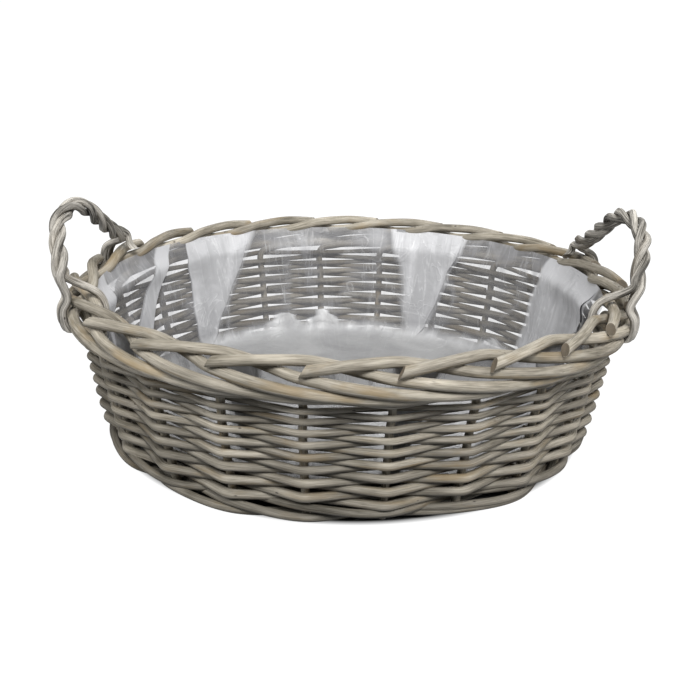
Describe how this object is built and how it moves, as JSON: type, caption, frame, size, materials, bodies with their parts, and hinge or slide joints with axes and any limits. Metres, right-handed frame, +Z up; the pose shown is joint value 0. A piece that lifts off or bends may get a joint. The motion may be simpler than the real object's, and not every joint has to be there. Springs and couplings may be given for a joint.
{
  "type": "wicker display tray",
  "caption": "Round willow display tray with a woven wall, rolled border, twisted side handles and a clear plastic lining.",
  "frame": {"origin": "on the floor under the middle of the tray", "axes": "+Z up, -Y the front, the handles at -X and +X"},
  "size_m": [0.3634, 0.36, 0.1511],
  "materials": {
    "willow": "matt grey-washed willow with fine bark grain",
    "handle_willow": "matt grey-washed willow, twisted, darker in the folds",
    "clear_film": "thin clear film, glossy and creased"
  },
  "bodies": {
    "root": {"stake_01": "willow", "stake_02": "willow", "stake_03": "willow", "stake_04": "willow", "stake_05": "willow", "stake_06": "willow", "stake_07": "willow", "stake_08": "willow", "stake_09": "willow", "stake_10": "willow", "stake_11": "willow", "stake_12": "willow", "stake_13": "willow", "stake_14": "willow", "stake_15": "willow", "stake_16": "willow", "stake_17": "willow", "stake_18": "willow", "stake_19": "willow", "stake_20": "willow", "stake_21": "willow", "stake_22": "willow", "weaver_01": "willow", "weaver_02": "willow", "weaver_03": "willow", "weaver_04": "willow", "weaver_05": "willow", "weaver_06": "willow", "weaver_07": "willow", "weaver_08": "willow", "weaver_09": "willow", "weaver_10": "willow", "weaver_11": "willow", "weaver_12": "willow", "weaver_13": "willow", "weaver_14": "willow", "weaver_15": "willow", "weaver_16": "willow", "weaver_17": "willow", "foot_wale_1": "willow", "foot_wale_2": "willow", "foot_wale_3": "willow", "base_stick_1": "willow", "base_stick_2": "willow", "base_stick_3": "willow", "base_stick_4": "willow", "base_stick_5": "willow", "base_stick_6": "willow", "base_weaver_1": "willow", "base_weaver_2": "willow", "left_handle_strand_1": "handle_willow", "left_handle_strand_2": "handle_willow", "left_handle_strand_3": "handle_willow", "right_handle_strand_1": "handle_willow", "right_handle_strand_2": "handle_willow", "right_handle_strand_3": "handle_willow", "lining": "clear_film"}
  },
  "joints": []
}
